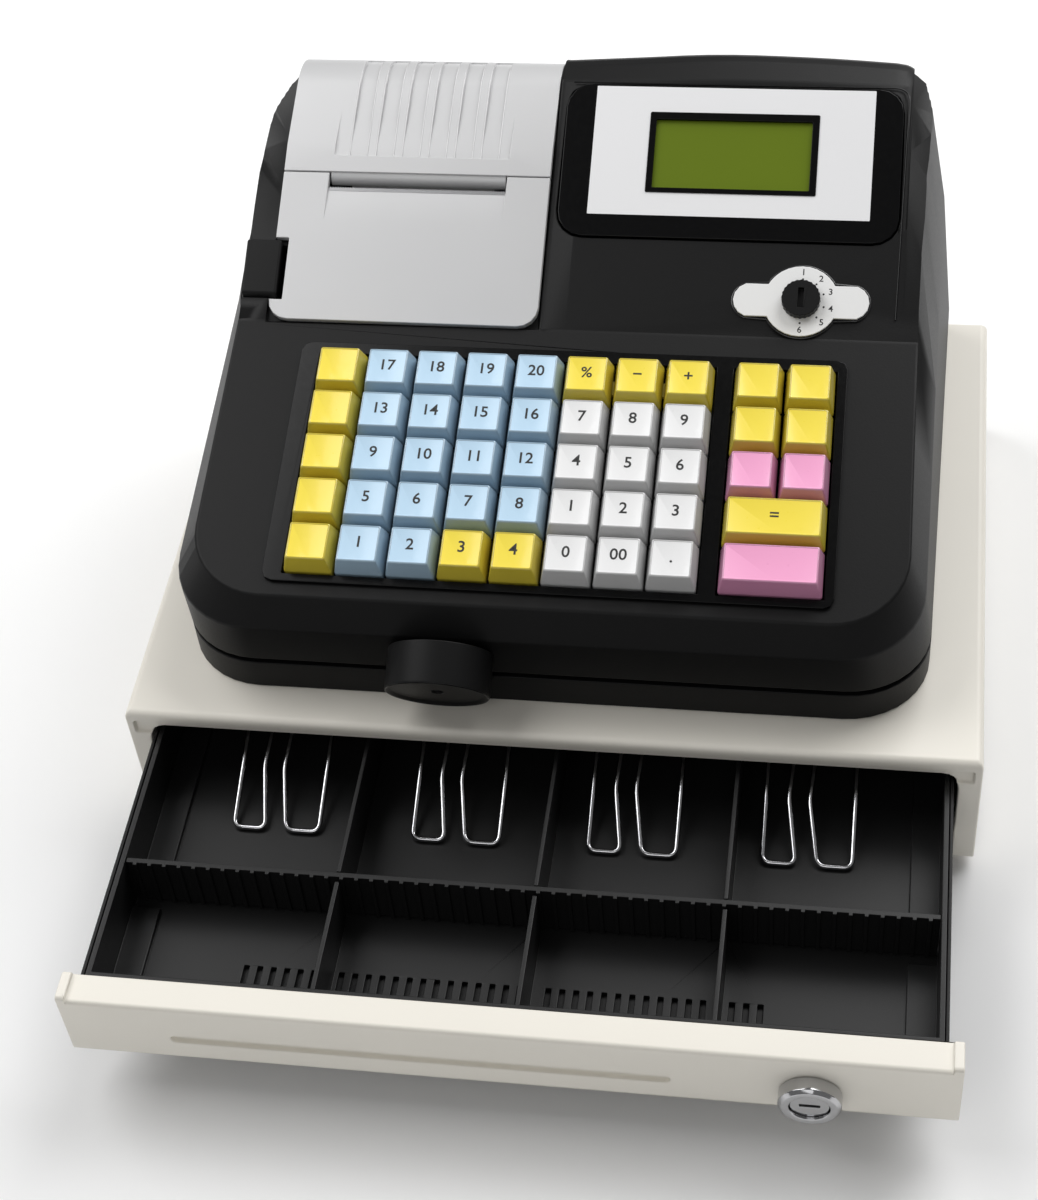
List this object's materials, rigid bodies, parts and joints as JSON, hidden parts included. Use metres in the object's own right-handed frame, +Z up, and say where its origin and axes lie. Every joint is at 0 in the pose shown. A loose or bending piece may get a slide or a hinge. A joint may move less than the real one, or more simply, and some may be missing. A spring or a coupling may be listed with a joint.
{
  "type": "ticket register",
  "caption": "Small electronic cash register with keyboard, ticket printer, display and mode switch on a steel cash drawer with till tray, note clips and key lock.",
  "frame": {"origin": "middle of the footprint on the table, with the drawer open as pictured", "axes": "+X to the right as a clerk faces it, +Y to the back, +Z up"},
  "size_m": [0.32, 0.3854, 0.1874],
  "materials": {
    "enamel": "satin enamel",
    "black_steel": "satin",
    "black_plastic": "fine grain",
    "gloss_black": "gloss",
    "silver": "silver paint",
    "chrome": "polished",
    "rubber": "matte",
    "white_plastic": "satin",
    "screen": "satin",
    "paper": "paper",
    "board": "circuit board",
    "yellow_key": "clear capped",
    "blue_key": "clear capped",
    "white_key": "clear capped",
    "pink_key": "clear capped"
  },
  "bodies": {
    "housing": {"case_cover": "enamel", "case_base": "enamel", "slide_rail_left": "black_steel", "slide_rail_right": "black_steel", "latch_solenoid": "black_steel", "power_supply": "black_steel", "foot_front_left": "rubber", "foot_front_right": "rubber", "foot_rear_left": "rubber", "foot_rear_right": "rubber", "lower_case": "black_plastic", "upper_case": "black_plastic", "switch_plate": "black_plastic", "printer_mechanism": "black_plastic", "clerk_key_reader": "black_plastic", "power_inlet": "black_plastic", "key_bezel": "gloss_black", "display_window": "gloss_black", "printer_cover": "silver", "mode_plate": "white_plastic", "lcd_screen": "screen", "main_board": "board"},
    "drawer": {"drawer_pan": "black_steel", "drawer_front": "enamel", "till_tray": "black_plastic", "cross_divider": "black_plastic", "clip_rod": "chrome", "lock_bezel": "chrome"},
    "function_keys": {"function_keys": "yellow_key"},
    "department_keys_1": {"department_keys_1": "blue_key"},
    "department_keys_2": {"department_keys_2": "blue_key"},
    "department_keys_3": {"department_keys_3": "blue_key"},
    "department_keys_4": {"department_keys_4": "blue_key"},
    "entry_keys": {"entry_keys": "yellow_key"},
    "key_7": {"key_7": "white_key"},
    "key_8": {"key_8": "white_key"},
    "key_9": {"key_9": "white_key"},
    "key_4": {"key_4": "white_key"},
    "key_5": {"key_5": "white_key"},
    "key_6": {"key_6": "white_key"},
    "key_1": {"key_1": "white_key"},
    "key_2": {"key_2": "white_key"},
    "key_3": {"key_3": "white_key"},
    "key_0": {"key_0": "white_key"},
    "key_00": {"key_00": "white_key"},
    "key_point": {"key_point": "white_key"},
    "modifier_keys_1": {"modifier_keys_1": "yellow_key"},
    "modifier_keys_2": {"modifier_keys_2": "yellow_key"},
    "total_key": {"total_key": "yellow_key"},
    "tender_key": {"tender_key": "pink_key"},
    "bill_clip_1": {"bill_clip_1": "chrome"},
    "bill_clip_2": {"bill_clip_2": "chrome"},
    "bill_clip_3": {"bill_clip_3": "chrome"},
    "bill_clip_4": {"bill_clip_4": "chrome"},
    "lock_barrel": {"lock_barrel": "chrome"},
    "printer_lid": {"printer_lid": "silver"},
    "cover_latch": {"cover_latch": "black_plastic"},
    "mode_switch": {"mode_switch": "black_plastic"},
    "platen_roller": {"platen_roller": "rubber"},
    "paper_roll": {"paper_roll": "paper"}
  },
  "joints": [
    {"name": "drawer_slide", "type": "slide", "parent": "housing", "child": "drawer", "axis": [0, -1, 0], "range_m": [-0.1095, 0.065]},
    {"name": "bill_clip_1_lift", "type": "hinge", "parent": "drawer", "child": "bill_clip_1", "pos_m": [-0.10064, -0.03635, 0.0454], "axis": [-1, 0, 0], "range_deg": [0, 25]},
    {"name": "bill_clip_2_lift", "type": "hinge", "parent": "drawer", "child": "bill_clip_2", "pos_m": [-0.03183, -0.03635, 0.0454], "axis": [-1, 0, 0], "range_deg": [0, 25]},
    {"name": "bill_clip_3_lift", "type": "hinge", "parent": "drawer", "child": "bill_clip_3", "pos_m": [0.03433, -0.03635, 0.0454], "axis": [-1, 0, 0], "range_deg": [0, 25]},
    {"name": "bill_clip_4_lift", "type": "hinge", "parent": "drawer", "child": "bill_clip_4", "pos_m": [0.09873, -0.03635, 0.0454], "axis": [-1, 0, 0], "range_deg": [0, 25]},
    {"name": "lock_turn", "type": "hinge", "parent": "drawer", "child": "lock_barrel", "pos_m": [0.1052, -0.18635, 0.0318], "axis": [0, -1, 0], "range_deg": [-90, 0]},
    {"name": "printer_lid_hinge", "type": "hinge", "parent": "housing", "child": "printer_lid", "pos_m": [-0.06825, 0.18609, 0.16987], "axis": [-1, 0, 0], "range_deg": [0, 75]},
    {"name": "cover_latch_push", "type": "slide", "parent": "housing", "child": "cover_latch", "axis": [1, 0, 0], "range_m": [0, 0.002], "stiffness_N_per_m": 400, "springref_m": -0.001},
    {"name": "mode_switch_turn", "type": "hinge", "parent": "housing", "child": "mode_switch", "pos_m": [0.0849, 0.08702, 0.14346], "axis": [0, -0.454, 0.891], "range_deg": [-150, 0]},
    {"name": "platen_turn", "type": "hinge", "parent": "housing", "child": "platen_roller", "pos_m": [-0.067, 0.11765, 0.147], "axis": [1, 0, 0], "continuous": true},
    {"name": "paper_roll_turn", "type": "hinge", "parent": "housing", "child": "paper_roll", "pos_m": [-0.067, 0.14965, 0.1435], "axis": [1, 0, 0], "continuous": true},
    {"name": "function_keys_press", "type": "slide", "parent": "housing", "child": "function_keys", "axis": [0, 0.263, -0.9648], "range_m": [0, 0.0034], "stiffness_N_per_m": 200, "springref_m": -0.002},
    {"name": "department_keys_1_press", "type": "slide", "parent": "housing", "child": "department_keys_1", "axis": [0, 0.263, -0.9648], "range_m": [0, 0.0034], "stiffness_N_per_m": 200, "springref_m": -0.002},
    {"name": "department_keys_2_press", "type": "slide", "parent": "housing", "child": "department_keys_2", "axis": [0, 0.263, -0.9648], "range_m": [0, 0.0034], "stiffness_N_per_m": 200, "springref_m": -0.002},
    {"name": "department_keys_3_press", "type": "slide", "parent": "housing", "child": "department_keys_3", "axis": [0, 0.263, -0.9648], "range_m": [0, 0.0034], "stiffness_N_per_m": 200, "springref_m": -0.002},
    {"name": "department_keys_4_press", "type": "slide", "parent": "housing", "child": "department_keys_4", "axis": [0, 0.263, -0.9648], "range_m": [0, 0.0034], "stiffness_N_per_m": 200, "springref_m": -0.002},
    {"name": "entry_keys_press", "type": "slide", "parent": "housing", "child": "entry_keys", "axis": [0, 0.263, -0.9648], "range_m": [0, 0.0034], "stiffness_N_per_m": 200, "springref_m": -0.002},
    {"name": "key_7_press", "type": "slide", "parent": "housing", "child": "key_7", "axis": [0, 0.263, -0.9648], "range_m": [0, 0.0034], "stiffness_N_per_m": 200, "springref_m": -0.002},
    {"name": "key_8_press", "type": "slide", "parent": "housing", "child": "key_8", "axis": [0, 0.263, -0.9648], "range_m": [0, 0.0034], "stiffness_N_per_m": 200, "springref_m": -0.002},
    {"name": "key_9_press", "type": "slide", "parent": "housing", "child": "key_9", "axis": [0, 0.263, -0.9648], "range_m": [0, 0.0034], "stiffness_N_per_m": 200, "springref_m": -0.002},
    {"name": "key_4_press", "type": "slide", "parent": "housing", "child": "key_4", "axis": [0, 0.263, -0.9648], "range_m": [0, 0.0034], "stiffness_N_per_m": 200, "springref_m": -0.002},
    {"name": "key_5_press", "type": "slide", "parent": "housing", "child": "key_5", "axis": [0, 0.263, -0.9648], "range_m": [0, 0.0034], "stiffness_N_per_m": 200, "springref_m": -0.002},
    {"name": "key_6_press", "type": "slide", "parent": "housing", "child": "key_6", "axis": [0, 0.263, -0.9648], "range_m": [0, 0.0034], "stiffness_N_per_m": 200, "springref_m": -0.002},
    {"name": "key_1_press", "type": "slide", "parent": "housing", "child": "key_1", "axis": [0, 0.263, -0.9648], "range_m": [0, 0.0034], "stiffness_N_per_m": 200, "springref_m": -0.002},
    {"name": "key_2_press", "type": "slide", "parent": "housing", "child": "key_2", "axis": [0, 0.263, -0.9648], "range_m": [0, 0.0034], "stiffness_N_per_m": 200, "springref_m": -0.002},
    {"name": "key_3_press", "type": "slide", "parent": "housing", "child": "key_3", "axis": [0, 0.263, -0.9648], "range_m": [0, 0.0034], "stiffness_N_per_m": 200, "springref_m": -0.002},
    {"name": "key_0_press", "type": "slide", "parent": "housing", "child": "key_0", "axis": [0, 0.263, -0.9648], "range_m": [0, 0.0034], "stiffness_N_per_m": 200, "springref_m": -0.002},
    {"name": "key_00_press", "type": "slide", "parent": "housing", "child": "key_00", "axis": [0, 0.263, -0.9648], "range_m": [0, 0.0034], "stiffness_N_per_m": 200, "springref_m": -0.002},
    {"name": "key_point_press", "type": "slide", "parent": "housing", "child": "key_point", "axis": [0, 0.263, -0.9648], "range_m": [0, 0.0034], "stiffness_N_per_m": 200, "springref_m": -0.002},
    {"name": "modifier_keys_1_press", "type": "slide", "parent": "housing", "child": "modifier_keys_1", "axis": [0, 0.263, -0.9648], "range_m": [0, 0.0034], "stiffness_N_per_m": 200, "springref_m": -0.002},
    {"name": "modifier_keys_2_press", "type": "slide", "parent": "housing", "child": "modifier_keys_2", "axis": [0, 0.263, -0.9648], "range_m": [0, 0.0034], "stiffness_N_per_m": 200, "springref_m": -0.002},
    {"name": "total_key_press", "type": "slide", "parent": "housing", "child": "total_key", "axis": [0, 0.263, -0.9648], "range_m": [0, 0.0034], "stiffness_N_per_m": 200, "springref_m": -0.002},
    {"name": "tender_key_press", "type": "slide", "parent": "housing", "child": "tender_key", "axis": [0, 0.263, -0.9648], "range_m": [0, 0.0034], "stiffness_N_per_m": 200, "springref_m": -0.002}
  ]
}
